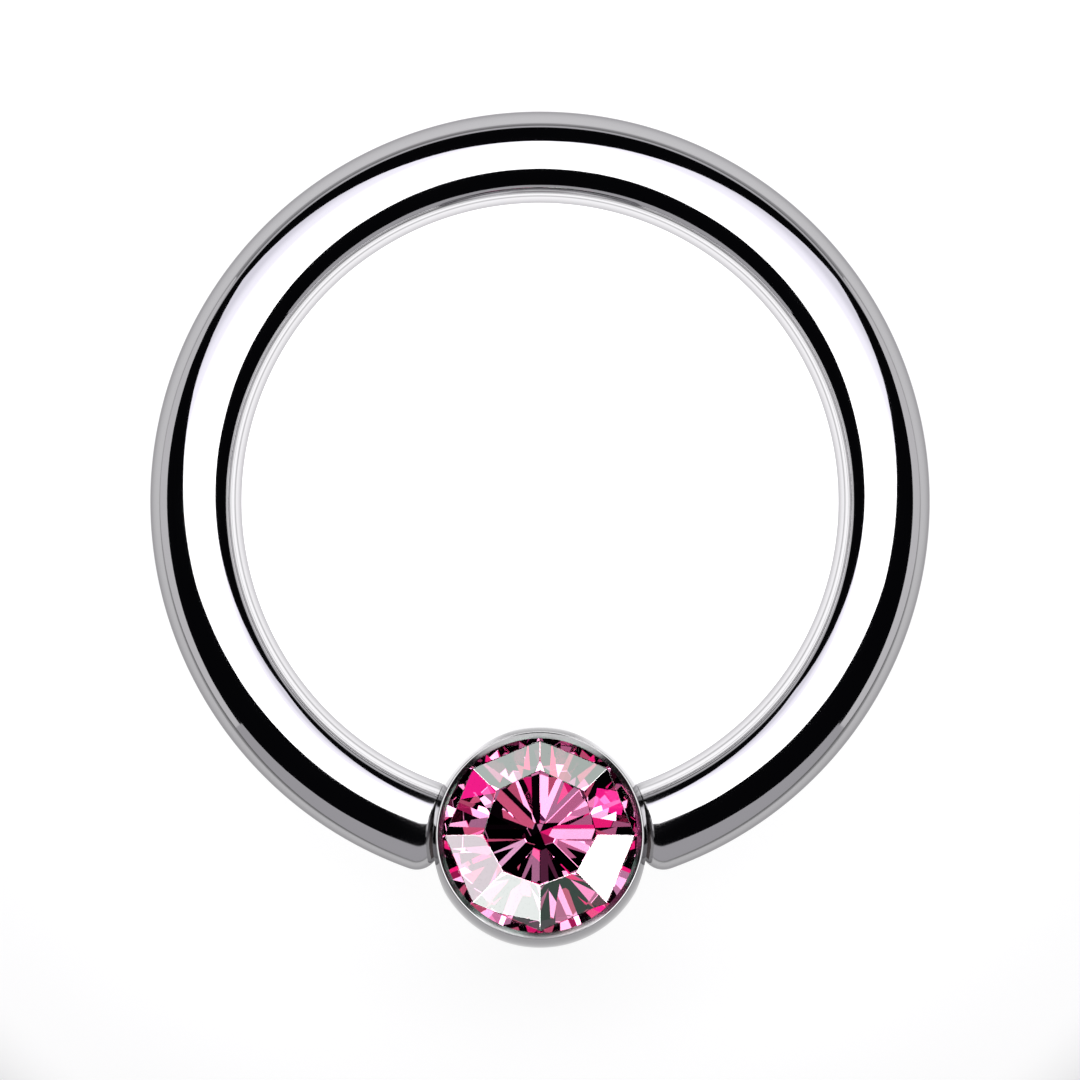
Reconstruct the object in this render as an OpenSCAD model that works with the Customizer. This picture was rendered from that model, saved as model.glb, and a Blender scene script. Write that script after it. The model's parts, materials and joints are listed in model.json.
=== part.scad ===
// Captive bead ring: a round wire hoop whose two ends grip a bead with a bezel set stone.
// It lies on its side, resting on the bead's round back and on the far side of the hoop.

/* [Hoop] */
// Thickness of the round wire
wire_d = 1.6; // [1.2:0.1:1.8]
// Clear width inside the hoop
hoop_inner_d = 10.4; // [8:0.2:16]
// Rounding of the two wire ends
end_round = 0.4; // [0.2:0.05:0.5]
// How deep the middle of each wire end sits below the bead's widest line
end_depth = 0.28; // [0.22:0.02:0.36]

/* [Stone] */
// Width of the stone across its girdle
stone_d = 3.44; // [3:0.04:4.4]
// Width of the table across its corners, as a share of the stone's width
table_share = 0.57; // [0.5:0.01:0.65]
// Lean of the table, which moves it off the middle towards the hoop's centre, in degrees
table_lean = 4; // [0:0.5:5]
// Width across the corners of the octagon that the main crown facets end on, as a share
octagon_share = 0.955; // [0.9:0.005:0.97]
// Slope of the eight main crown facets, in degrees
crown_angle = 31; // [28:1:36]
// Slope of the eight crown facets along the girdle, in degrees
edge_angle = 40; // [37:1:45]
// Height of the plain girdle at its thinnest
girdle_t = 0.06; // [0.03:0.01:0.12]
// Slope of the eight main pavilion facets, in degrees
pavilion_angle = 40; // [38:0.5:43]
// Length of the sixteen lower facets, as a share of the way from girdle to point
lower_share = 0.8; // [0.6:0.05:0.85]

/* [Bead] */
// Gap all round the stone in its seat
stone_gap = 0.025; // [0.01:0.005:0.05]
// Wall of the bezel round the girdle
bezel_wall = 0.055; // [0.04:0.005:0.3]
// How far the rolled lip reaches in over the girdle
lip_cover = 0.04; // [0.02:0.01:0.08]
// Thickness of the lip at its inner edge
lip_edge = 0.03; // [0.02:0.01:0.06]
// Width of the bevel from the lip's edge up to the rim
bevel_w = 0.09; // [0.04:0.01:0.1]
// Slope of that bevel, in degrees
bevel_angle = 35; // [25:5:45]
// Rounding of the rim's outer edge
rim_round = 0.02; // [0.02:0.01:0.04]
// How much further out the bead's middle stands than its rim
bead_swell = 0.12; // [0.03:0.01:0.18]
// How far inside the circle of the wire's middle line the bead's middle sits
bead_inset = 0.13; // [0:0.01:0.2]
// Metal between each dimple and the stone's seat
seat_wall = 0.12; // [0.1:0.01:0.2]
// Running gap between a wire end and its dimple
dimple_gap = 0.03; // [0.01:0.005:0.06]
// Turn of the bead on the wire ends, which faces the stone towards the hoop's centre, in degrees
face_turn = 3.5; // [0:0.5:20]

/* [Hidden] */
$fn = 96;
STEEL = [0.78, 0.79, 0.80];
PINK = [0.93, 0.28, 0.62];

// Hoop: the wire's middle line is a circle of radius hoop_r, in a plane of its own
wire_r = wire_d / 2;
hoop_r = hoop_inner_d / 2 + wire_r;

// Stone: heights count from the girdle's lower edge
stone_r = stone_d / 2;
SIDES = 8;
half_side = 180 / SIDES;
table_r = stone_r * table_share;
octagon_r = stone_r * octagon_share;
octagon_z = girdle_t + tan(edge_angle) * (stone_r - octagon_r * cos(half_side));
table_z = octagon_z + tan(crown_angle) * (octagon_r - table_r) * cos(half_side);
lower_reach = 1 - lower_share;
lower_slope = tan(pavilion_angle) * (1 - cos(half_side) * lower_reach) / (1 - cos(half_side / 2) * lower_reach);

// Facets: where each faces, its normal's angle from +Z, and the reach and height of a point on it
TABLE_CUT = [90, table_lean, 0, table_z];
SIDE_CUTS = [
    [half_side, crown_angle, table_r * cos(half_side), table_z],
    [half_side, edge_angle, stone_r, girdle_t],
    [0, 180 - pavilion_angle, stone_r, 0],
    [half_side / 2, 180 - atan(lower_slope), stone_r, 0],
    [half_side * 3 / 2, 180 - atan(lower_slope), stone_r, 0]
];

// Bead: the seat is a cone that just clears the pavilion, and the bead grows from the stone outwards
seat_r = stone_r + stone_gap;
seat_slope = lower_slope * cos(half_side / 2);
seat_lift = stone_gap / cos(atan(seat_slope));
rim_r = seat_r + bezel_wall;
lip_r = stone_r - lip_cover;
bead_r = rim_r + bead_swell;

// Wire ends: a straight tip as long as its rounding follows the bent wire on each side of the bead
bead_away = hoop_r - bead_inset;
tip_lean = asin((bead_r - end_depth) / norm([hoop_r, end_round])) + atan(end_round / hoop_r);
tip_x = hoop_r * sin(tip_lean) - end_round * cos(tip_lean);
tip_y = bead_away - hoop_r * cos(tip_lean) - end_round * sin(tip_lean);

// Dimples: each clears the path of the tip's inner corner as the bead turns
corner_x = tip_x - (wire_r - end_round) * sin(tip_lean) + end_round * cos(tip_lean);
corner_y = tip_y + (wire_r - end_round) * cos(tip_lean) + end_round * sin(tip_lean);
dimple_r = end_round + dimple_gap;

// Heights in the bead, from its turning axis: the seat clears the dimples by seat_wall
seat_z = (dimple_r + seat_wall) / cos(atan(seat_slope)) + corner_y - seat_slope * corner_x;
girdle_z = seat_z + seat_lift + lower_slope * stone_r;
lip_slope = tan(edge_angle) * cos(half_side);
lip_clear = girdle_z + girdle_t + tan(edge_angle) * stone_r + stone_gap / cos(atan(lip_slope));
lip_z = lip_clear - lip_slope * lip_r;
rim_z = lip_z + lip_edge + bevel_w * tan(bevel_angle);
wall_h = rim_z - rim_round;
wall_curve = (wall_h * wall_h + bead_swell * bead_swell) / (2 * bead_swell);

// Rest: the hoop leans from the bead's back down to the wire on the far side
rest_lean = asin((bead_r - wire_r) / (hoop_r + bead_away));
rest_z = wire_r + hoop_r * sin(rest_lean);
rest_y = (bead_r - wire_r - bead_inset * cos(rest_lean)) / 2;
BIG = 4 * hoop_r;

// From the hoop's own plane, with the bead at -Y, to where the ring lies
module lying() {
    translate([0, rest_y, rest_z]) rotate([-rest_lean, 0, 0]) children();
}

// From the bead's own frame, with the stone facing +Z and the wire ends along X, to the hoop's plane
module on_wire_ends() {
    translate([0, -bead_away, 0]) rotate([-face_turn, 0, 0]) children();
}

// One rounded tip, standing on the wire's cross-section
module wire_tip() {
    rotate_extrude() {
        square([wire_r - end_round, end_round]);
        intersection() {
            translate([wire_r - end_round, 0]) circle(end_round);
            square([wire_r, end_round]);
        }
    }
}

module hoop() {
    color(STEEL) lying() {
        rotate([0, 0, tip_lean - 90])
            rotate_extrude(angle = 360 - 2 * tip_lean) translate([hoop_r, 0]) circle(wire_r);
        for (side = [0, 1])
            mirror([side, 0, 0])
                rotate([0, 0, tip_lean - 90]) translate([hoop_r, 0, 0]) rotate([90, 0, 0]) wire_tip();
    }
}

// Half section of the bead's outside, from its round back to the rim
module bead_section() {
    intersection() {
        circle(bead_r);
        translate([0, -bead_r]) square(bead_r);
    }
    intersection() {
        translate([bead_r - wall_curve, 0]) circle(wall_curve);
        square([bead_r, wall_h]);
    }
    square([rim_r - rim_round, rim_z]);
    translate([rim_r - rim_round, wall_h]) circle(rim_round);
}

// Half section of the seat, with the rolled lip over the girdle and the bevel above it
module seat_section() {
    polygon([
        [0, seat_z],
        [seat_r, seat_z + seat_slope * seat_r],
        [seat_r, lip_clear - lip_slope * seat_r],
        [lip_r, lip_z],
        [lip_r, lip_z + lip_edge],
        [lip_r + bevel_w, rim_z],
        [lip_r + bevel_w, rim_z + rim_round],
        [0, rim_z + rim_round]
    ]);
}

// Half section of a dimple, away from the turning axis along x and out of the bead along y
module dimple_section() {
    intersection() {
        union() {
            translate([0, corner_x - dimple_r]) square([corner_y, bead_r]);
            translate([corner_y, corner_x]) circle(dimple_r);
            difference() {
                translate([0, corner_x - dimple_r * sin(tip_lean)]) square([wire_r + hoop_r / 2, bead_r]);
                translate([bead_away, 0]) circle(hoop_inner_d / 2 - dimple_gap);
            }
        }
        square(BIG);
    }
}

module bead_cup() {
    color(STEEL) lying() on_wire_ends() difference() {
        rotate_extrude() difference() {
            bead_section();
            seat_section();
        }
        for (side = [0, 1])
            mirror([side, 0, 0]) rotate([0, 90, 0]) rotate_extrude() dimple_section();
    }
}

// Cuts away everything outside one flat facet
module facet(cut) {
    rotate([0, 0, cut[0]]) translate([cut[2], 0, cut[3]]) rotate([0, cut[1], 0])
        translate([-stone_d, -stone_d, 0]) cube([2 * stone_d, 2 * stone_d, stone_d]);
}

// Grinds the facets one after the other
module ground(cuts, next = 0) {
    if (next < len(cuts))
        difference() {
            ground(cuts, next + 1) children();
            facet(cuts[next]);
        }
    else children();
}

module stone() {
    side_cuts = [for (side = [0 : SIDES - 1]) for (cut = SIDE_CUTS) cut + [2 * side * half_side, 0, 0, 0]];
    color(PINK) lying() on_wire_ends() translate([0, 0, girdle_z])
        ground(concat([TABLE_CUT], side_cuts))
            translate([0, 0, -stone_r]) cylinder(r = stone_r, h = 2 * stone_r);
}

hoop();
bead_cup();
stone();
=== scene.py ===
# %% [markdown]
# # Captive bead ring
# A captive bead ring is one round wire bent into a hoop, whose two ends grip a small bead.
# The bead here is a metal cup with a pink stone set in its face. The hoop was bent and
# mirror polished, the cup was turned on a lathe, and the stone was ground facet by facet.
# Each of the three pieces is made below in the way that suits it. All of them lie in the
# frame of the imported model, so their places come from the frame and not from guesses.

# %% Load the frame
import json
import random
from math import acos, asin, atan, atan2, cos, degrees, pi, radians, sin, sqrt, tan

import bmesh
import bpy
from mathutils import Matrix, Vector


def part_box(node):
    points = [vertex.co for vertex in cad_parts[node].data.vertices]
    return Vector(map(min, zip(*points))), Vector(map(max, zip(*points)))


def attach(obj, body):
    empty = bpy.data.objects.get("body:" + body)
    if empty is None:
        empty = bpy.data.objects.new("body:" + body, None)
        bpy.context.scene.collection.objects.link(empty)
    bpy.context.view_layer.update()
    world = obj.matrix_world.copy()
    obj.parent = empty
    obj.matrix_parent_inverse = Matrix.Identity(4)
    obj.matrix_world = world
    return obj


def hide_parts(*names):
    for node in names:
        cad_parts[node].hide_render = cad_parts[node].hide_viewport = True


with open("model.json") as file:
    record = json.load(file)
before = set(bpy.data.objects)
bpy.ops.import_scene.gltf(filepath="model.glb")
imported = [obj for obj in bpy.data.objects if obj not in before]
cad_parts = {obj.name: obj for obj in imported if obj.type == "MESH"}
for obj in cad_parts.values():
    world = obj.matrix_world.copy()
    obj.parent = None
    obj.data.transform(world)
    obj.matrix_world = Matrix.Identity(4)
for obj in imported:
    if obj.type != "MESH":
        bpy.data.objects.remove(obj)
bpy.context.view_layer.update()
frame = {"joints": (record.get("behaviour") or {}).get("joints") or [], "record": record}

MM = 0.001
scene = bpy.context.scene

# %% [markdown]
# ## Where the ring lies
# The ring lies on its side, on the bead's round back and on the far side of the hoop, so
# the hoop leans a few degrees. The bead turns on the two wire ends, and that axis is the
# joint of the model. The lean and the hoop's middle could be measured on the solids, but
# they follow from that axis and from the sizes of the wire, so they are worked out here.
# Two places are used below: the hoop's own plane, and the bead's own axis, whose face is
# turned a little towards the middle of the hoop.

# %% Sizes and places of the ring
BEAD_INSET = 0.13 * MM
FACE_TURN = radians(3.5)

axis = Vector(frame["joints"][0]["pos_m"])
wire_mount = next(m for m in frame["record"]["mounts"] if m["name"] == "wire")
WIRE_R = wire_mount["dims"]["r_mm"] * MM
HOOP_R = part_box("hoop")[1].x - WIRE_R
BEAD_R = axis.z
STONE_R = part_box("stone")[1].x
BEAD_AWAY = HOOP_R - BEAD_INSET

lean = asin((BEAD_R - WIRE_R) / (HOOP_R + BEAD_AWAY))
hoop_middle = axis + BEAD_AWAY * Vector((0, cos(lean), -sin(lean)))
hoop_place = Matrix.Translation(hoop_middle) @ Matrix.Rotation(-lean, 4, "X")
bead_place = Matrix.Translation(axis) @ Matrix.Rotation(-lean - FACE_TURN, 4, "X")
print(f"hoop radius {HOOP_R / MM:.2f} mm, wire {2 * WIRE_R / MM:.2f} mm, lean {degrees(lean):.2f} degrees")

# %% [markdown]
# ## The camera
# The photograph looks square onto the hoop. The camera therefore looks down along the
# hoop's own axis. A camera without perspective would do, but a real one always has a
# little, so this one is a long lens that stands well away.

# %% Camera
CAMERA_AWAY = 150 * MM
VIEW_WIDE = 18.84 * MM
AIM_BELOW = 0.675 * MM
FILM = 36.0
NEAR_END, FAR_END = 1 * MM, 100.0

camera = bpy.data.objects.new("camera", bpy.data.cameras.new("camera"))
scene.collection.objects.link(camera)
scene.camera = camera
camera.matrix_world = hoop_place @ Matrix.Translation((0, -AIM_BELOW, CAMERA_AWAY))
camera.data.sensor_width = FILM
camera.data.lens = FILM * CAMERA_AWAY / VIEW_WIDE
camera.data.clip_start = NEAR_END
camera.data.clip_end = FAR_END
scene.view_settings.view_transform = "Standard"
print(f"lens {camera.data.lens:.0f} mm at {CAMERA_AWAY / MM:.0f} mm")

# %% [markdown]
# ## Helpers for node trees
# Materials, the room and the modelling trees are all made of nodes. They could be wired by
# hand in the editor, but a script makes the same tree every time. These short helpers add
# a node, give its inputs a number or a link, and return the socket that comes out. With
# them a formula reads from the inside out, as it would on paper.

# %% Helpers for nodes and formulas
def add(tree, kind, operation=None, **values):
    """Adds a node. A value is a number for the input of that name, or a socket to link to it."""
    node = tree.nodes.new(kind)
    if operation:
        node.operation = operation
    for name, value in values.items():
        give(tree, node.inputs[name.replace("_", " ")], value)
    return node


def give(tree, socket, value):
    if isinstance(value, bpy.types.NodeSocket):
        tree.links.new(value, socket)
    else:
        socket.default_value = value


def calc(tree, operation, *values, clamp=False):
    node = add(tree, "ShaderNodeMath", operation)
    node.use_clamp = clamp
    for socket, value in zip(node.inputs, values):
        give(tree, socket, value)
    return node.outputs[0]


def fade(tree, value, start, end):
    """Goes from 0 at start to 1 at end."""
    return calc(tree, "DIVIDE", calc(tree, "SUBTRACT", value, start), end - start, clamp=True)


def length_of(tree, a, b):
    """How far a point lies from an axis that it lies a and b beside."""
    return calc(tree, "SQRT", calc(tree, "ADD", calc(tree, "MULTIPLY", a, a), calc(tree, "MULTIPLY", b, b)))


# %% Helpers for places and colours
def local(tree, place):
    """The Object place of a point, as seen in the frame of place."""
    back = place.inverted()
    spot = add(tree, "ShaderNodeMapping", Vector=add(tree, "ShaderNodeTexCoord").outputs["Object"])
    spot.inputs["Location"].default_value = back.to_translation()
    spot.inputs["Rotation"].default_value = back.to_euler()
    return spot.outputs[0]


def parts(tree, vector):
    return add(tree, "ShaderNodeSeparateXYZ", Vector=vector).outputs


def spot_of(tree, x, y, z):
    return add(tree, "ShaderNodeCombineXYZ", X=x, Y=y, Z=z).outputs[0]


def ramp(tree, factor, *stops):
    """A colour that changes along factor. Each stop is a place from 0 to 1 and a colour."""
    node = add(tree, "ShaderNodeValToRGB", Fac=factor)
    node.color_ramp.interpolation = "EASE"
    while len(node.color_ramp.elements) < len(stops):
        node.color_ramp.elements.new(0.5)
    for element, (place, colour) in zip(node.color_ramp.elements, stops):
        element.position = place
        element.color = (*colour, 1)
    return node.outputs[0]


# %% Helpers for materials
def new_material(name):
    material = bpy.data.materials.new(name)
    material.use_nodes = True
    return material, material.node_tree


def glowing(name):
    """A material that only gives light."""
    material, tree = new_material(name)
    tree.nodes.clear()
    glow = add(tree, "ShaderNodeEmission")
    add(tree, "ShaderNodeOutputMaterial", Surface=glow.outputs[0])
    return material, tree, glow


# %% [markdown]
# ## The studio
# Polished metal has hardly a colour of its own: it shows what stands around it. So the
# studio is built with as much care as the ring. It is made of flat sheets.

# %% Helper for sheets of the studio
def stage_sheet(name, corners, faces, material, place):
    """A flat piece of the studio. Corners are in mm in the frame of place."""
    mesh = bpy.data.meshes.new(name)
    mesh.from_pydata([Vector(c) * MM for c in corners], [], faces)
    mesh.transform(place)
    mesh.materials.append(material)
    thing = bpy.data.objects.new(name, mesh)
    scene.collection.objects.link(thing)
    return thing


# %% [markdown]
# The black bands of the wire are the dark room, and the broad white band is one soft panel
# of light overhead. A lamp would show as a dot. The wire mirrors the outline of a flat
# panel, so the outline sets how wide the white is at each place round the hoop: the panel
# reaches far to the far side, and the black bands are wide near the bead and narrow away
# from it. Its far wings are dimmer and slightly lilac, as thin light through cloth is. The
# camera looks through the panel.

# %% Light panel overhead
PANEL_UP = 17.3
PANEL_LIGHT = 3.4
# The right half of the panel's edge, in mm from the hoop's middle
PANEL_EDGE = [(0, -4.0), (3.0, -5.2), (7.7, -4.8), (12.6, -3.1), (16.3, 1.0), (24.8, 9.0), (39.2, 29.4),
              (17.3, 25.2), (6.2, 20.8), (0, 19.6)]
WHITE = (1.0, 1.0, 1.0)
PALE_LILAC = (0.55, 0.54, 0.59)
LILAC = (0.40, 0.393, 0.435)
LILAC_FROM, LILAC_TO = 8 * MM, 30 * MM
PALE_AT = 0.45


def light_panel():
    material, tree, glow = glowing("panel_light")
    x, y, _ = parts(tree, local(tree, hoop_place))
    towards_wing = calc(tree, "MULTIPLY", calc(tree, "ADD", calc(tree, "ABSOLUTE", x), y), sqrt(0.5))
    share = fade(tree, towards_wing, LILAC_FROM, LILAC_TO)
    give(tree, glow.inputs["Color"], ramp(tree, share, (0, WHITE), (PALE_AT, PALE_LILAC), (1, LILAC)))
    give(tree, glow.inputs["Strength"], PANEL_LIGHT)
    left_half = [(-x, y) for x, y in reversed(PANEL_EDGE[1:-1])]
    corners = [(x, y, PANEL_UP) for x, y in PANEL_EDGE + left_half]
    facing_down = list(reversed(range(len(corners))))
    panel = stage_sheet("light_panel", corners, [facing_down], material, hoop_place)
    panel.visible_camera = False
    return panel


panel = light_panel()
print("corners of the light panel:", len(panel.data.vertices))

# %% [markdown]
# Low pale cards stand around the ring, just outside the picture. They end the black bands
# towards the outer edge of the wire, and the grey in front of the bead is the front card.
# One paper wall all round would be quicker, but each card has its own height, and the
# height sets where the black ends.

# %% Cards around the ring
CARD_SIDE = 16.2
CARD_FRONT = -12.0
CARD_FOOT = -1.3
FRONT_CARD_TOP = 4.9
SIDE_CARD_TOPS = [(-12, 3.2), (4, 2.9), (8, 2.4), (12, 1.0)]
FRONT_GREY = (0.62, 0.61, 0.64)
SIDE_GREY = (0.95, 0.94, 0.96)


def card(name, tops, colour):
    """A standing card from its foot up to the line of tops, each an x, y and z in mm."""
    material, tree, glow = glowing(name)
    give(tree, glow.inputs["Color"], (*colour, 1))
    count = len(tops)
    corners = [(x, y, CARD_FOOT) for x, y, _ in tops] + tops
    faces = [[k, k + 1, count + k + 1, count + k] for k in range(count - 1)]
    thing = stage_sheet(name, corners, faces, material, hoop_place)
    thing.visible_camera = False


card("front_card", [(x, CARD_FRONT, FRONT_CARD_TOP) for x in (-CARD_SIDE, CARD_SIDE)], FRONT_GREY)
for side in (-1, 1):
    card("side_card", [(side * CARD_SIDE, y, top) for y, top in SIDE_CARD_TOPS], SIDE_GREY)
print("the front card is", 2 * CARD_SIDE, "mm wide")

# %% [markdown]
# Beyond the cards the room is dark, which gives polished metal its black. Only up to a few
# degrees above the horizon is it pale, as a far wall would be. The room could be a picture
# of a real studio, but two tones and a soft change between them are enough here.

# %% Room beyond the cards
ROOM_EDGE = 0.075
ROOM_SOFT = 0.03
ROOM_DARK = (0.003, 0.003, 0.004)
ROOM_PALE = (0.75, 0.74, 0.77)


def room():
    world = bpy.data.worlds.new("room")
    world.use_nodes = True
    tree = world.node_tree
    height = parts(tree, add(tree, "ShaderNodeTexCoord").outputs["Generated"])[2]
    share = fade(tree, height, ROOM_EDGE, ROOM_EDGE + ROOM_SOFT)
    give(tree, tree.nodes["Background"].inputs["Color"], ramp(tree, share, (0, ROOM_PALE), (1, ROOM_DARK)))
    return world


scene.world = room()
print(f"the room turns dark {degrees(asin(ROOM_EDGE + ROOM_SOFT)):.0f} degrees above the horizon")

# %% [markdown]
# The ring lies on a white light table: a matt sheet that is lit from below, most of all
# inside the hoop. White paper lit from above would turn grey beside the wire, and a table
# that glows stays white right up to it. The inside of the wire mirrors the bright middle,
# and its outside the greyer rest. One small spot of the table, in the hoop and close to the
# bead, is dimmer, so that the bead's wall there stands out as a darker line.

# %% Light table
TABLE_HALF = 1000
TABLE_COLOUR = (0.20, 0.198, 0.202)
TABLE_MATT = 0.9
GLOW_TO = 20 * MM
# How brightly the table glows at a distance in mm from below the hoop's middle
GLOW_STEPS = [(1.2, 1.80), (2.0, 0.80), (2.9, 1.80), (4.8, 1.70), (6.4, 0.92), (9.5, 0.86), (13, 0.82),
              (16, 0.35), (20, 0.25)]
DIP_MIDDLE = 2.3 * MM
DIP_FROM, DIP_TO = 0.8 * MM, 1.5 * MM
DIP_SHARE = 0.45


def light_table():
    material, tree = new_material("light_table")
    surface = tree.nodes["Principled BSDF"]
    place = add(tree, "ShaderNodeTexCoord").outputs["Object"]

    def away_from(y):
        gap = add(tree, "ShaderNodeVectorMath", "DISTANCE")
        give(tree, gap.inputs[0], place)
        give(tree, gap.inputs[1], (0, y, 0))
        return gap.outputs["Value"]

    share = fade(tree, away_from(hoop_middle.y), 0, GLOW_TO)
    stops = [(r * MM / GLOW_TO, (light, light, light)) for r, light in GLOW_STEPS]
    give(tree, surface.inputs["Emission Color"], ramp(tree, share, *stops))
    beside_dip = fade(tree, away_from(axis.y + DIP_MIDDLE), DIP_FROM, DIP_TO)
    strength = calc(tree, "ADD", DIP_SHARE, calc(tree, "MULTIPLY", beside_dip, 1 - DIP_SHARE))
    give(tree, surface.inputs["Emission Strength"], strength)
    give(tree, surface.inputs["Base Color"], (*TABLE_COLOUR, 1))
    give(tree, surface.inputs["Roughness"], TABLE_MATT)
    give(tree, surface.inputs["Specular IOR Level"], 0.0)
    corners = [(x * TABLE_HALF, y * TABLE_HALF, 0) for x, y in ((-1, -1), (1, -1), (1, 1), (-1, 1))]
    stage_sheet("light_table", corners, [[0, 1, 2, 3]], material, Matrix.Identity(4))


light_table()
print("the light table is", 2 * TABLE_HALF, "mm wide")

# %% [markdown]
# ## Polished steel
# The steel is mirror polished, so its finish is mostly what it mirrors. What makes it real
# is small: a breath of haze in patches, and the faintest lines that the polishing wheel
# left. They are far finer than a hair, so they only blur the rims of the bright bands. A
# picture of scratches could do the same, but it would show a seam where it meets itself.
# Here both come from noise, which has none: the haze reads the plain place, and the lines
# read a place that is squeezed across them and stretched along them.

# %% Polished steel
STEEL = (0.485, 0.48, 0.49)
STEEL_AT_EDGES = (0.5, 0.495, 0.505)
# Painted shade: the near black that the seat under the stone is darkened to
SEAT_PAINTED_SHADE = (0.12, 0.10, 0.10)
CLEAN, HAZY, RUBBED = 0.03, 0.065, 0.25
HAZE_SIZE = 1.1 * MM
HAZE_DETAIL, LINE_DETAIL = 3.0, 4.0
PATCHY_LOW, PATCHY_HIGH = 0.1, 0.4
LINE_WIDE = 0.045 * MM
LINE_DEEP = 0.0002 * MM


def polished_steel(material, tree, lines, rubbed, shade):
    """Lines is a place in which the polishing lines lie apart. Rubbed and shade go from 0 to 1; shade turns
    the steel into the colour of painted shade.
    """
    surface = tree.nodes["Principled BSDF"]
    give(tree, surface.inputs["Metallic"], 1.0)
    give(tree, surface.inputs["Specular Tint"], (*STEEL_AT_EDGES, 1))
    # In a Mix node for colours the two colours are inputs 6 and 7, and the result is output 2
    # Where shade is 1 the steel is painted near black, as shade
    tone = add(tree, "ShaderNodeMix", Factor=shade)
    tone.data_type = "RGBA"
    give(tree, tone.inputs[6], (*STEEL, 1))
    give(tree, tone.inputs[7], (*SEAT_PAINTED_SHADE, 1))
    give(tree, surface.inputs["Base Color"], tone.outputs[2])
    place = add(tree, "ShaderNodeTexCoord").outputs["Object"]
    haze = add(tree, "ShaderNodeTexNoise", Vector=place, Scale=1 / HAZE_SIZE, Detail=HAZE_DETAIL)
    streaks = add(tree, "ShaderNodeTexNoise", Vector=lines, Scale=1.0, Detail=LINE_DETAIL)
    patchy = calc(tree, "MULTIPLY", haze.outputs[0], streaks.outputs[0])
    spread = add(tree, "ShaderNodeMapRange", Value=patchy, From_Min=PATCHY_LOW, From_Max=PATCHY_HIGH,
                 To_Min=CLEAN, To_Max=HAZY)
    rough = calc(tree, "ADD", spread.outputs[0], calc(tree, "MULTIPLY", rubbed, RUBBED))
    give(tree, surface.inputs["Roughness"], rough)
    dents = add(tree, "ShaderNodeBump", Height=streaks.outputs[0], Distance=LINE_DEEP)
    give(tree, surface.inputs["Normal"], dents.outputs[0])
    return material


# %% [markdown]
# On the wire the polishing lines run along the bend, the way a cloth is drawn along it. So
# their place is worked out from the angle round the hoop and the distance across the wire.
# Where the bead sits, the last few degrees of each end are rubbed a little duller.

# %% Steel of the wire
TIP_LEAN = radians(19.643)
RUB_LONG = radians(7)
RUB_SHARE = 0.3
LINES_PER_RADIAN = 3.0


def steel_of_wire():
    material, tree = new_material("steel_wire")
    x, y, z = parts(tree, local(tree, hoop_place))
    turn = calc(tree, "ARCTAN2", x, y)
    out = calc(tree, "SUBTRACT", length_of(tree, x, y), HOOP_R)
    along = calc(tree, "MULTIPLY", turn, LINES_PER_RADIAN)
    lines = spot_of(tree, along, calc(tree, "DIVIDE", out, LINE_WIDE), calc(tree, "DIVIDE", z, LINE_WIDE))
    end = pi - TIP_LEAN
    near_end = fade(tree, calc(tree, "ABSOLUTE", turn), end - RUB_LONG, end)
    return polished_steel(material, tree, lines, calc(tree, "MULTIPLY", near_end, RUB_SHARE), 0.0)


steel_wire = steel_of_wire()
print("nodes in the steel of the wire:", len(steel_wire.node_tree.nodes))

# %% [markdown]
# ## From a modelling tree to a plain mesh
# A modelling tree is run by a modifier on an empty mesh. Its result is then copied into a
# plain mesh and the modifier goes, because the finished model carries meshes alone. Each
# finished mesh is measured, and its faces, its volume and its open edges are printed.

# %% Helpers for modelling trees
KINDS = {int: "NodeSocketInt", float: "NodeSocketFloat", bpy.types.Material: "NodeSocketMaterial"}


def new_tree(name, **inputs):
    """A modelling tree with named inputs. Returns it with the sockets of the inputs and their values."""
    tree = bpy.data.node_groups.new(name, "GeometryNodeTree")
    for label, value in inputs.items():
        tree.interface.new_socket(label.replace("_", " "), in_out="INPUT", socket_type=KINDS[type(value)])
    tree.interface.new_socket("Geometry", in_out="OUTPUT", socket_type="NodeSocketGeometry")
    sockets = dict(zip(inputs, add(tree, "NodeGroupInput").outputs))
    names = [item.identifier for item in tree.interface.items_tree if item.in_out == "INPUT"]
    return tree, sockets, dict(zip(names, inputs.values()))


def end_tree(tree, geometry, finish):
    real = add(tree, "GeometryNodeRealizeInstances", Geometry=geometry)
    dressed = add(tree, "GeometryNodeSetMaterial", Geometry=real.outputs[0], Material=finish)
    add(tree, "NodeGroupOutput", Geometry=dressed.outputs[0])


def new_piece(name, mesh):
    piece = bpy.data.objects.new(name, mesh)
    scene.collection.objects.link(piece)
    return piece


def evaluated(maker, name):
    """The result of an object's modifiers as a new plain piece. The maker itself is removed."""
    graph = bpy.context.evaluated_depsgraph_get()
    mesh = bpy.data.meshes.new_from_object(maker.evaluated_get(graph))
    mesh.name = name
    bpy.data.objects.remove(maker)
    return new_piece(name, mesh)


def run_tree(tree, values, name):
    maker = new_piece("maker", bpy.data.meshes.new("maker"))
    nodes = maker.modifiers.new("nodes", "NODES")
    nodes.node_group = tree
    for identifier, value in values.items():
        nodes[identifier] = value
    return evaluated(maker, name)


# %% Helpers that measure a mesh
def measured(mesh):
    """The volume of a mesh, below zero if it is inside out, and how many of its edges are open."""
    shape = bmesh.new()
    shape.from_mesh(mesh)
    volume = shape.calc_volume(signed=True)
    open_edges = sum(not edge.is_manifold for edge in shape.edges)
    shape.free()
    return volume, open_edges


def face_out(mesh):
    volume, _ = measured(mesh)
    if volume < 0:
        mesh.flip_normals()


def report(piece):
    volume, open_edges = measured(piece.data)
    faces = len(piece.data.polygons)
    print(f"{piece.name}: {faces} faces, {volume / MM ** 3:.2f} mm3, {open_edges} open edges")


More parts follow.
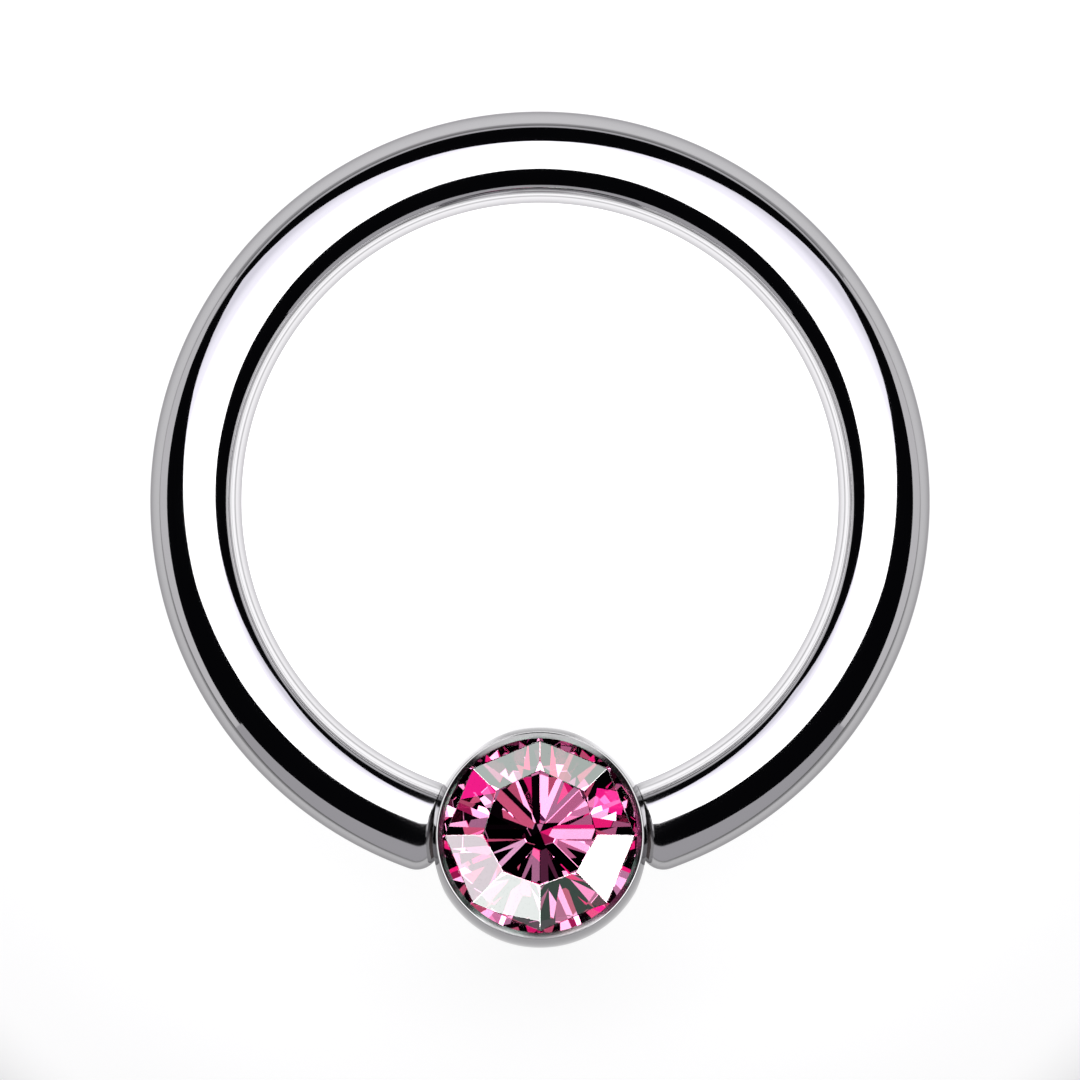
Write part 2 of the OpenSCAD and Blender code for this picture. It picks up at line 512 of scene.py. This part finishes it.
# %% [markdown]
# ## The hoop
# The hoop is one piece of wire, bent on a round former, with two ends that are rounded over
# so that they don't scratch. A bevelled circle would give the bend but no rounded ends. A
# modelling tree can follow the whole rule. It lays a line of points along the bend, runs
# the last few points of each end straight on and thins the wire there along a quarter
# circle, and then draws a round section along them. Any thickness of wire, width or gap can
# be tried by changing the named inputs of the tree.

# %% Tree of the hoop
END_ROUND = 0.4 * MM
RINGS = 460
TIP_RINGS = 12
SIDES = 72


def hoop_tree():
    tree, value, values = new_tree(
        "bent_wire", hoop_radius=HOOP_R, wire_radius=WIRE_R, end_lean=TIP_LEAN, end_round=END_ROUND,
        rings=RINGS, tip_rings=TIP_RINGS, sides=SIDES, finish=steel_wire)
    index = add(tree, "GeometryNodeInputIndex").outputs[0]
    last = calc(tree, "SUBTRACT", value["rings"], 1)

    def quarter_turn(count):
        return calc(tree, "MULTIPLY", calc(tree, "DIVIDE", count, value["tip_rings"], clamp=True), pi / 2)

    first_tip = quarter_turn(index)
    second_tip = quarter_turn(calc(tree, "SUBTRACT", last, index))
    bend_rings = calc(tree, "SUBTRACT", last, calc(tree, "MULTIPLY", value["tip_rings"], 2))
    along = calc(tree, "DIVIDE", calc(tree, "SUBTRACT", index, value["tip_rings"]), bend_rings, clamp=True)
    sweep = calc(tree, "SUBTRACT", 2 * pi, calc(tree, "MULTIPLY", value["end_lean"], 2))
    start = calc(tree, "SUBTRACT", value["end_lean"], pi / 2)
    angle = calc(tree, "ADD", start, calc(tree, "MULTIPLY", along, sweep))
    cosine, sine = calc(tree, "COSINE", angle), calc(tree, "SINE", angle)
    ahead = calc(tree, "SUBTRACT", calc(tree, "COSINE", second_tip), calc(tree, "COSINE", first_tip))
    beyond = calc(tree, "MULTIPLY", value["end_round"], ahead)
    x = calc(tree, "SUBTRACT", calc(tree, "MULTIPLY", cosine, value["hoop_radius"]),
             calc(tree, "MULTIPLY", sine, beyond))
    y = calc(tree, "ADD", calc(tree, "MULTIPLY", sine, value["hoop_radius"]),
             calc(tree, "MULTIPLY", cosine, beyond))
    rise = calc(tree, "ADD", calc(tree, "SINE", first_tip), calc(tree, "SINE", second_tip))
    thinner = calc(tree, "MULTIPLY", value["end_round"], calc(tree, "SUBTRACT", 2, rise))
    thick = calc(tree, "SUBTRACT", value["wire_radius"], thinner)

    line = add(tree, "GeometryNodeCurvePrimitiveLine")
    points = add(tree, "GeometryNodeResampleCurve", Curve=line.outputs[0], Count=value["rings"])
    bent = add(tree, "GeometryNodeSetPosition", Geometry=points.outputs[0], Position=spot_of(tree, x, y, 0.0))
    circle = add(tree, "GeometryNodeCurvePrimitiveCircle", Resolution=value["sides"], Radius=1.0)
    skin = add(tree, "GeometryNodeCurveToMesh", Curve=bent.outputs[0], Profile_Curve=circle.outputs[0],
               Scale=thick, Fill_Caps=True)
    smooth = add(tree, "GeometryNodeSetShadeSmooth", Geometry=skin.outputs[0])
    end_tree(tree, smooth.outputs[0], value["finish"])
    return tree, values


wire_tree, wire_values = hoop_tree()
print("nodes in the tree of the hoop:", len(wire_tree.nodes))

# %% Hoop
hoop = run_tree(wire_tree, wire_values, "bent_hoop")
face_out(hoop.data)
hoop.data.transform(hoop_place)
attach(hoop, "hoop")
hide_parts("hoop")
report(hoop)

# %% [markdown]
# ## The shape of the stone
# A round brilliant is ground facet by facet from a round blank. Its sizes are angles and
# shares of its width: a table that leans a little, eight main crown facets, eight facets
# along the girdle, and below the girdle eight main pavilion facets with sixteen lower ones.
# The angles below the girdle matter most, because they turn the light back to the viewer.

# %% Angles of the brilliant
TABLE_SHARE, OCTAGON_SHARE, LOWER_SHARE = 0.57, 0.955, 0.8
TABLE_R = TABLE_SHARE * STONE_R
OCTAGON_R = OCTAGON_SHARE * STONE_R
CROWN, EDGE, PAVILION = radians(31), radians(40), radians(40)
TABLE_LEAN = radians(4)
GIRDLE = 0.06 * MM
STONE_SIDES = 8
HALF_SIDE = pi / STONE_SIDES

octagon_z = GIRDLE + tan(EDGE) * (STONE_R - OCTAGON_R * cos(HALF_SIDE))
table_z = octagon_z + tan(CROWN) * (OCTAGON_R - TABLE_R) * cos(HALF_SIDE)
culet_z = -tan(PAVILION) * STONE_R
lower_reach = 1 - LOWER_SHARE
lower_slope = tan(PAVILION) * (1 - cos(HALF_SIDE) * lower_reach) / (1 - cos(HALF_SIDE / 2) * lower_reach)
lower = atan(lower_slope)

# Where a facet faces, how far it tips from level, and the reach and height of a point on it
SIDE_CUTS = [
    (HALF_SIDE, CROWN, TABLE_R * cos(HALF_SIDE), table_z),
    (HALF_SIDE, EDGE, STONE_R, GIRDLE),
    (0, pi - PAVILION, STONE_R, 0),
    (HALF_SIDE / 2, pi - lower, STONE_R, 0),
    (HALF_SIDE * 3 / 2, pi - lower, STONE_R, 0)]

face_tilt = lean + FACE_TURN
girdle_up = (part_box("stone")[0].z - axis.z) / cos(face_tilt) - culet_z
stone_place = bead_place @ Matrix.Translation((0, 0, girdle_up))
print(f"stone {2 * STONE_R / MM:.2f} mm wide, girdle {girdle_up / MM:.3f} mm above the bead's axis")

# %% [markdown]
# The stone could be drawn from a list of corners, but a facet with five corners is only
# flat if all five are exact. So the code grinds as a cutter does. It cuts the blank with one
# plane after the other and closes each cut with a face, and the facets stay perfectly flat.
# Last, the edges between the crown facets get a bevel of a few thousandths of a millimetre.
# Real polished edges have one too, and it shows as a fine bright line.

# %% Grind the stone
BLANK_SIDES = 192
BLANK_DEEP = 4 * STONE_R
# Corners that lie closer together than this, in metres, are one corner
CLOSE = 1e-7
ARRIS = 0.007 * MM
ABOVE_GIRDLE = 1.2 * GIRDLE
SHARP = radians(5)


def grind(shape, turn, tilt, reach, height):
    """Cuts away all that lies outside one flat facet, and closes the cut."""
    out = Vector((cos(turn) * sin(tilt), sin(turn) * sin(tilt), cos(tilt)))
    point = Vector((cos(turn) * reach, sin(turn) * reach, height))
    everything = shape.verts[:] + shape.edges[:] + shape.faces[:]
    cut = bmesh.ops.bisect_plane(shape, geom=everything, plane_co=point, plane_no=out, clear_outer=True,
                                 dist=CLOSE / 100)
    rim = [item for item in cut["geom_cut"] if isinstance(item, bmesh.types.BMEdge)]
    bmesh.ops.contextual_create(shape, geom=rim)


def brilliant():
    shape = bmesh.new()
    bmesh.ops.create_cone(shape, cap_ends=True, segments=BLANK_SIDES, radius1=STONE_R, radius2=STONE_R,
                          depth=BLANK_DEEP)
    grind(shape, pi / 2, TABLE_LEAN, 0, table_z)
    for side in range(STONE_SIDES):
        for turn, tilt, reach, height in SIDE_CUTS:
            grind(shape, turn + 2 * side * HALF_SIDE, tilt, reach, height)
    bmesh.ops.remove_doubles(shape, verts=shape.verts, dist=CLOSE)
    crown = [edge for edge in shape.edges if all(v.co.z > ABOVE_GIRDLE for v in edge.verts)
             and edge.calc_face_angle() > SHARP]
    bmesh.ops.bevel(shape, geom=crown, offset=ARRIS, segments=1, affect="EDGES")
    bmesh.ops.recalc_face_normals(shape, faces=shape.faces)
    mesh = bpy.data.meshes.new("brilliant_stone")
    shape.to_mesh(mesh)
    shape.free()
    return mesh


stone = new_piece("brilliant_stone", brilliant())
stone.data.transform(stone_place)
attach(stone, "bead")
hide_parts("stone")
report(stone)

# %% [markdown]
# ## The finish of the stone
# The stone is clear and coloured pink all through. A pink surface would tint all facets
# alike. In the real stone light that crosses a corner stays pale, and light that runs about
# inside comes out deep pink, so here the colour sits in the body of the stone and only a
# trace of it on the surface. The stone bends light strongly, nearly as much as diamond,
# which is what makes the facets flash. The facets have the faintest haze of polish, and the
# thin girdle between crown and pavilion is left frosted.

# %% Pink stone
STONE_BEND = 2.15
STONE_TRACE = (0.99, 0.86, 0.93)
STONE_BODY = (0.97, 0.29, 0.66)
STONE_DEPTH = 450
FACET_HAZE = 0.002
POLISH_WIDE = 0.3 * MM
POLISH_DETAIL = 2.0
FROST = 0.35
FROST_FROM = 0.9985 * STONE_R


def pink_stone():
    material, tree = new_material("pink_stone")
    surface = tree.nodes["Principled BSDF"]
    give(tree, surface.inputs["Transmission Weight"], 1.0)
    give(tree, surface.inputs["IOR"], STONE_BEND)
    x, y, z = parts(tree, local(tree, stone_place))
    girdle = calc(tree, "GREATER_THAN", length_of(tree, x, y), FROST_FROM)
    polish = add(tree, "ShaderNodeTexNoise", Vector=spot_of(tree, x, y, z), Scale=1 / POLISH_WIDE,
                 Detail=POLISH_DETAIL)
    hazy = calc(tree, "MULTIPLY", polish.outputs[0], FACET_HAZE)
    give(tree, surface.inputs["Roughness"], calc(tree, "ADD", hazy, calc(tree, "MULTIPLY", girdle, FROST)))
    give(tree, surface.inputs["Base Color"], (*STONE_TRACE, 1))
    body = add(tree, "ShaderNodeVolumeAbsorption", Color=(*STONE_BODY, 1), Density=STONE_DEPTH)
    give(tree, tree.nodes["Material Output"].inputs["Volume"], body.outputs[0])
    return material


stone.data.materials.append(pink_stone())
print("materials on the stone:", len(stone.data.materials))

# %% [markdown]
# ## The cup
# The cup is the metal bead itself. Its back is part of a ball, its wall tapers a little up
# to a thin rim, and inside the rim a bevel runs down to the lip that was pressed over the
# stone. Below the lip is the seat, a cone just larger than the stone. The cup could be put
# together from balls, tubes and cones, but a lathe makes it from one half section that goes
# once round its axis, and so does the code. The section is drawn from the bottom of the
# back outwards, over the rim and down to the point of the seat. Its round stretches are
# arcs.

# %% Half section of the cup
SEAT_GAP = 0.025 * MM
LIP_COVER = 0.04 * MM
LIP_EDGE = 0.03 * MM
BEVEL_WIDE = 0.09 * MM
BEVEL = radians(35)
RIM_ROUND = 0.02 * MM
RIM_R = 1.80 * MM
BACK_STEPS, WALL_STEPS, RIM_STEPS = 56, 24, 8

seat_r = STONE_R + SEAT_GAP
seat_slope = lower_slope * cos(HALF_SIDE / 2)
seat_z = girdle_up - SEAT_GAP / cos(atan(seat_slope)) - lower_slope * STONE_R
lip_r = STONE_R - LIP_COVER
lip_slope = tan(EDGE) * cos(HALF_SIDE)
lip_clear = girdle_up + GIRDLE + tan(EDGE) * STONE_R + SEAT_GAP / cos(atan(lip_slope))
lip_z = lip_clear - lip_slope * lip_r
bevel_r = lip_r + BEVEL_WIDE
rim_z = lip_z + LIP_EDGE + BEVEL_WIDE * tan(BEVEL)
wall_up = rim_z - RIM_ROUND
swell = BEAD_R - RIM_R
wall_curve = (wall_up ** 2 + swell ** 2) / (2 * swell)


def arc(middle, radius, start, end, steps):
    """Points of an arc in the plane of a half section, from start to end in radians."""
    turns = [start + (end - start) * k / steps for k in range(steps + 1)]
    return [(middle[0] + radius * cos(t), middle[1] + radius * sin(t)) for t in turns]


def cup_section():
    wall_turn = asin(wall_up / wall_curve)
    back = arc((0, 0), BEAD_R, -pi / 2, 0, BACK_STEPS)
    wall = arc((BEAD_R - wall_curve, 0), wall_curve, 0, wall_turn, WALL_STEPS)[1:]
    rim = arc((RIM_R - RIM_ROUND, wall_up), RIM_ROUND, wall_turn, pi / 2, RIM_STEPS)[1:]
    lip = [(bevel_r, rim_z), (lip_r, lip_z + LIP_EDGE), (lip_r, lip_z)]
    seat = [(seat_r, lip_clear - lip_slope * seat_r), (seat_r, seat_z + seat_slope * seat_r), (0, seat_z)]
    return back + wall + rim + lip + seat


print(f"the rim stands {rim_z / MM:.2f} mm above the bead's axis and is {2 * RIM_R / MM:.2f} mm wide")

# %% [markdown]
# Two dimples take the wire ends. A plain round hollow would either bind on the wire or gape
# around it. As the bead spins, each rounded end sweeps out a turned shape, and the dimple
# is that shape with a small gap all round. It is drawn as a half section too: its bottom is
# an arc round the corner of the wire end, and its side follows the inside of the bent wire.

# %% Half section of a dimple
DIMPLE_GAP = 0.03 * MM
BOTTOM_STEPS, SIDE_POINTS = 14, 14
SIDE_STEP = 0.06 * MM


def dimple_section():
    """Distance from the turning axis and place along it, for all that a wire end sweeps."""
    tip_x = HOOP_R * sin(TIP_LEAN) - END_ROUND * cos(TIP_LEAN)
    tip_y = BEAD_AWAY - HOOP_R * cos(TIP_LEAN) - END_ROUND * sin(TIP_LEAN)
    flat = WIRE_R - END_ROUND
    corner_x = tip_x - flat * sin(TIP_LEAN) + END_ROUND * cos(TIP_LEAN)
    corner_y = tip_y + flat * cos(TIP_LEAN) + END_ROUND * sin(TIP_LEAN)
    radius = END_ROUND + DIMPLE_GAP
    bend = HOOP_R - WIRE_R - DIMPLE_GAP
    bottom = arc((corner_y, corner_x), radius, -pi / 2, -TIP_LEAN, BOTTOM_STEPS)
    xs = [corner_x - radius * sin(TIP_LEAN) + (k + 1) * SIDE_STEP for k in range(SIDE_POINTS)]
    side = [(BEAD_AWAY - sqrt(bend ** 2 - x ** 2), x) for x in xs]
    return [(0, corner_x - radius)] + bottom + side + [(0, xs[-1])]


print("points in the section of a dimple:", len(dimple_section()))

# %% [markdown]
# The cup is of the same steel, but it was polished on the lathe, so its faint lines are
# circles round the bead's own axis. It could be painted with three materials, but the worn
# places fade into the bright ones, so one material works them out from the place alone. The
# bevel was pressed down with a hard tool and is satin, the dimples are rubbed by the wire,
# and the seat under the stone is darkened with painted shade.

# %% Steel of the cup
BEVEL_RUBBED = 0.42
DIMPLE_FROM = 1.3 * MM
DIMPLE_OUT, DIMPLE_IN = 1.0 * MM, 0.8 * MM
SEAT_REACH = seat_r * 1.001
SEAT_BOTTOM = seat_z - 0.01 * MM
SEAT_TOP = lip_z - 0.002 * MM


def steel_of_cup():
    material, tree = new_material("steel_cup")
    x, y, z = parts(tree, local(tree, bead_place))
    away = length_of(tree, x, y)
    lines = spot_of(tree, calc(tree, "DIVIDE", away, LINE_WIDE), calc(tree, "DIVIDE", z, LINE_WIDE), 0.0)
    beside = calc(tree, "GREATER_THAN", calc(tree, "ABSOLUTE", x), DIMPLE_FROM)
    dimple = fade(tree, length_of(tree, y, z), DIMPLE_OUT, DIMPLE_IN)
    on_lip = fade(tree, z, lip_z, lip_z + LIP_EDGE)
    bevel = calc(tree, "MULTIPLY", calc(tree, "LESS_THAN", away, bevel_r), on_lip)
    satin = calc(tree, "MULTIPLY", bevel, BEVEL_RUBBED)
    rubbed = calc(tree, "ADD", calc(tree, "MULTIPLY", dimple, beside), satin)
    # The seat inside the cup, below the lip, gets painted shade
    inside = calc(tree, "MULTIPLY", calc(tree, "LESS_THAN", away, SEAT_REACH),
                  calc(tree, "GREATER_THAN", z, SEAT_BOTTOM))
    below_lip = calc(tree, "LESS_THAN", z, SEAT_TOP)
    return polished_steel(material, tree, lines, rubbed, calc(tree, "MULTIPLY", inside, below_lip))


steel_cup = steel_of_cup()
print("nodes in the steel of the cup:", len(steel_cup.node_tree.nodes))

# %% [markdown]
# Now the section is spun into the blank of the cup, and the dimple's section into two
# cutters. The cutters are taken out of the blank exactly, as a drill would take them out.
# The steps of the turning are fine enough that no flats show in the mirror finish, and only
# edges sharper than the crease angle stay sharp.

# %% Turn the cup and cut its dimples
CUP_TURNS = 256
DIMPLE_TURNS = 160
CREASE = radians(25)


def turned(name, section, turns, place):
    """A closed turned shape: the section goes round the Z axis of place."""
    shape = bmesh.new()
    points = [shape.verts.new((r, 0, z)) for r, z in section]
    edges = [shape.edges.new(pair) for pair in zip(points, points[1:])]
    bmesh.ops.spin(shape, geom=points + edges, cent=(0, 0, 0), axis=(0, 0, 1), angle=2 * pi, steps=turns,
                   use_merge=True)
    bmesh.ops.remove_doubles(shape, verts=shape.verts, dist=CLOSE / 10)
    bmesh.ops.recalc_face_normals(shape, faces=shape.faces)
    mesh = bpy.data.meshes.new(name)
    shape.to_mesh(mesh)
    shape.free()
    face_out(mesh)
    mesh.transform(place)
    return new_piece(name, mesh)


def cut_out(blank, cutter):
    cut = blank.modifiers.new(cutter.name, "BOOLEAN")
    cut.operation = "DIFFERENCE"
    cut.solver = "EXACT"
    cut.object = cutter


cup_blank = turned("cup_blank", cup_section(), CUP_TURNS, Matrix.Identity(4))
cutters = [turned("dimple", dimple_section(), DIMPLE_TURNS, Matrix.Rotation(side * pi / 2, 4, "Y"))
           for side in (-1, 1)]
for cutter in cutters:
    cut_out(cup_blank, cutter)
cup = evaluated(cup_blank, "turned_cup")
for cutter in cutters:
    bpy.data.objects.remove(cutter)
print("dimples cut into the cup:", len(cutters))

# %% Cup
cup.data.transform(bead_place)
cup.data.shade_smooth()
cup.data.set_sharp_from_angle(angle=CREASE)
cup.data.materials.clear()
cup.data.materials.append(steel_cup)
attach(cup, "bead")
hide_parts("bead_cup")
report(cup)

# %% [markdown]
# ## Light for the stone
# A stone is lit facet by facet. Each crown facet is a small mirror, and where it sees a
# white card it turns white. A card could be pushed about until its facet lights up, but
# its place can be worked out backwards: from the camera to the facet, and on to where the
# facet mirrors it. These cards shine on the stone alone, or on the cup alone, so the wire
# keeps its clean bands.

# %% Helpers for cards of light
CARDS_AWAY = 13 * MM


def only(thing):
    """A group with one thing in it, for the lights that shine on that thing alone."""
    group = bpy.data.collections.new("only_" + thing.name)
    group.objects.link(thing)
    return group


only_stone, only_cup = only(stone), only(cup)


def card_light(name, group, size, strength, colour, place):
    """A card of light, size in mm, that is as bright as a glowing sheet of that strength."""
    data = bpy.data.lights.new(name, "AREA")
    data.shape = "RECTANGLE"
    data.size, data.size_y = size[0] * MM, size[1] * MM
    data.energy = strength * pi * data.size * data.size_y
    data.color = colour
    light = bpy.data.objects.new(name, data)
    scene.collection.objects.link(light)
    light.matrix_world = place
    light.visible_camera = False
    light.light_linking.receiver_collection = group


def towards(turn, tilt, away):
    """A place seen from the stone: turned round its axis, tilted off it, and away from it."""
    aim = Matrix.Rotation(turn, 4, "Z") @ Matrix.Rotation(tilt, 4, "Y")
    return bead_place @ Matrix.Translation((0, 0, rim_z)) @ aim @ Matrix.Translation((0, 0, away))


def mirror_place(facing, slope):
    """Where a facet, seen from the camera, mirrors to."""
    out = Vector((cos(facing) * sin(slope), sin(facing) * sin(slope), cos(slope)))
    eye = Vector((0, -sin(FACE_TURN), cos(FACE_TURN)))
    seen = 2 * out.dot(eye) * out - eye
    return towards(atan2(seen.y, seen.x), acos(seen.z), CARDS_AWAY)


# %% Cards for the crown facets
CROWN_CARDS = [
    # where the facet faces and its slope in degrees, light, colour
    (337.5, CROWN, 9.5, (1.0, 1.0, 1.0)),
    (67.5, CROWN, 3.2, (0.90, 1.0, 0.95)),
    (112.5, CROWN, 3.4, (0.90, 1.0, 0.96)),
    (247.5, CROWN, 6.2, (0.96, 1.0, 0.98)),
    (202.5, CROWN, 5.2, (1.0, 0.90, 0.96)),
    (292.5, CROWN, 0.5, (0.7, 1.0, 0.85)),
    (67.5, EDGE, 2.2, (0.80, 0.66, 1.0)),
    (112.5, EDGE, 2.8, (0.95, 0.75, 1.0))]
CROWN_CARD_WIDE = 3.6

for facing, slope, strength, colour in CROWN_CARDS:
    card_light("crown_card", only_stone, (CROWN_CARD_WIDE, CROWN_CARD_WIDE), strength, colour,
               mirror_place(radians(facing), slope))
print("cards for the crown facets:", len(CROWN_CARDS))

# %% [markdown]
# The bevelled edges of the crown mirror to places of their own, roughly halfway between
# those of their two facets. They could be drawn as white threads, but one small bright card
# for each makes them flash as polished edges do. Two small pink cards each lay a hot pink
# patch on a side facet, where the real stone throws its own colour back.

# %% Cards for the bevelled edges and the pink patches
RIDGE_LIGHT = 8.0
RIDGE_WIDE = 1.2
PATCH_PINK = (1.0, 0.014, 0.28)
PATCHES = [
    # where the facet faces, turn and reach in mm of the patch, size in mm, turn of the card, light
    (157.5, 154, 1.24, (0.9, 0.55), 35, 6.5),
    (22.5, 7, 1.22, (0.55, 0.42), -35, 6.5)]

for side in range(STONE_SIDES):
    corner, middle = 2 * side * HALF_SIDE, (2 * side + 1) * HALF_SIDE
    for facing, slope in ((corner, CROWN), (middle, CROWN / 2), (middle, (CROWN + EDGE) / 2)):
        card_light("ridge_card", only_stone, (RIDGE_WIDE, RIDGE_WIDE), RIDGE_LIGHT, WHITE,
                   mirror_place(facing, slope))
for facing, turn, reach, size, spin, strength in PATCHES:
    aside = Matrix.Rotation(radians(turn), 3, "Z") @ Vector((reach * MM, 0, 0))
    place = Matrix.Translation(bead_place.to_3x3() @ aside) @ mirror_place(radians(facing), CROWN)
    card_light("patch_card", only_stone, size, strength, PATCH_PINK,
               place @ Matrix.Rotation(radians(spin), 4, "Z"))
print("pink patches:", len(PATCHES))

# %% [markdown]
# Inside the stone, the pavilion facets throw whatever stands around about in small pieces,
# so a stone needs many things to show. In a shop that is the whole room. Here a quilt of
# cards, some dark, some pale and a few bright, stands round the stone on rings. Which card
# is which is drawn by chance, with a fixed seed, so that every run gives the same stone. No
# card stands where the table or a crown facet mirrors to, because that would veil the facet.

# %% Quilt of cards round the stone
QUILT_RINGS = [
    # tilt from the stone's axis in degrees, how many cards, width in mm
    (6, 4, 1.8), (10.5, 8, 1.8), (15, 11, 1.8), (19.5, 14, 1.8), (24, 17, 1.8), (31, 12, 3.0), (40, 14, 3.0),
    (50, 16, 3.0), (60, 17, 3.0), (76, 18, 3.4)]
QUILT_CLOTHS = [
    # how common, light, colour
    (36, 0.0, (0.0, 0.0, 0.0)), (6, 0.13, (1.0, 0.8, 1.0)), (5, 0.16, (0.7, 0.55, 1.0)),
    (9, 0.45, (1.0, 0.12, 0.45)), (4, 1.1, (1.0, 0.06, 0.40)), (5, 0.4, (0.75, 0.5, 1.0)),
    (4, 0.7, (1.0, 0.6, 0.6)), (4, 0.65, (1.0, 1.0, 1.0)), (8, 1.0, (0.65, 1.0, 0.85)),
    (8, 0.95, (0.85, 1.0, 0.95)), (6, 2.4, (0.5, 1.0, 0.75)), (9, 3.2, (0.65, 1.0, 0.8))]
QUILT_SEED = 87
QUILT_SHIFT = 0.2
QUILT_DIMMEST, QUILT_BRIGHTEST = 0.8, 1.2
CLEAR = radians(8)


def seen_from_stone(place):
    return place.to_translation() - towards(0, 0, 0).to_translation()


def make_quilt(seed):
    """Cards of many tones all round the stone, on rings of equal tilt. Returns how many there are."""
    chance = random.Random(seed)
    commonness = [row[0] for row in QUILT_CLOTHS]
    mirrors = [mirror_place(pi / 2, TABLE_LEAN)]
    mirrors += [mirror_place(HALF_SIDE * (2 * side + 1), CROWN) for side in range(STONE_SIDES)]
    made = 0
    for tilt, count, wide in QUILT_RINGS:
        for k in range(count):
            _, light, colour = chance.choices(QUILT_CLOTHS, commonness)[0]
            turn = 360 * (k + chance.uniform(-QUILT_SHIFT, QUILT_SHIFT)) / count
            place = towards(radians(turn), radians(tilt), CARDS_AWAY)
            off = min(seen_from_stone(place).angle(seen_from_stone(mirror)) for mirror in mirrors)
            if light > 0 and off > CLEAR:
                made += 1
                strength = light * chance.uniform(QUILT_DIMMEST, QUILT_BRIGHTEST)
                card_light("quilt_card", only_stone, (wide, wide), strength, colour, place)
    return made


print("cards in the quilt:", make_quilt(QUILT_SEED))

# %% [markdown]
# ## Light for the rim
# The rim of the cup is as thin as a thread, and its bevel and crest look into other parts
# of the room than the wire does. More light all round would wash out the wire too. So the
# cup has cards of its own: one over the hoop, a low and a high one on the other side of the
# bead, and one to the left and to the right. The big panel shines on everything but the
# bead.

# %% Cards for the rim
RIM_CARDS_AWAY = 9 * MM
RIM_CARDS = [
    # turn and tilt from the stone's axis in degrees, size in mm, light
    (270, 68, (13, 3.0), 1.3),
    (270, 22, (9, 6.0), 0.8),
    (8, 28, (7.0, 7.5), 1.9),
    (172, 28, (7.0, 7.5), 1.9),
    (90, 60, (12, 4.0), 2.8)]

for turn, tilt, size, strength in RIM_CARDS:
    place = towards(radians(turn), radians(tilt), RIM_CARDS_AWAY) @ Matrix.Rotation(pi / 2, 4, "Z")
    card_light("bevel_card", only_cup, size, strength, WHITE, place)

others = bpy.data.collections.new("not_the_bead")
for piece in (stone, cup):
    others.objects.link(piece)
for left_out in others.collection_objects:
    left_out.light_linking.link_state = "EXCLUDE"
panel.light_linking.receiver_collection = others
print("cards for the rim:", len(RIM_CARDS))
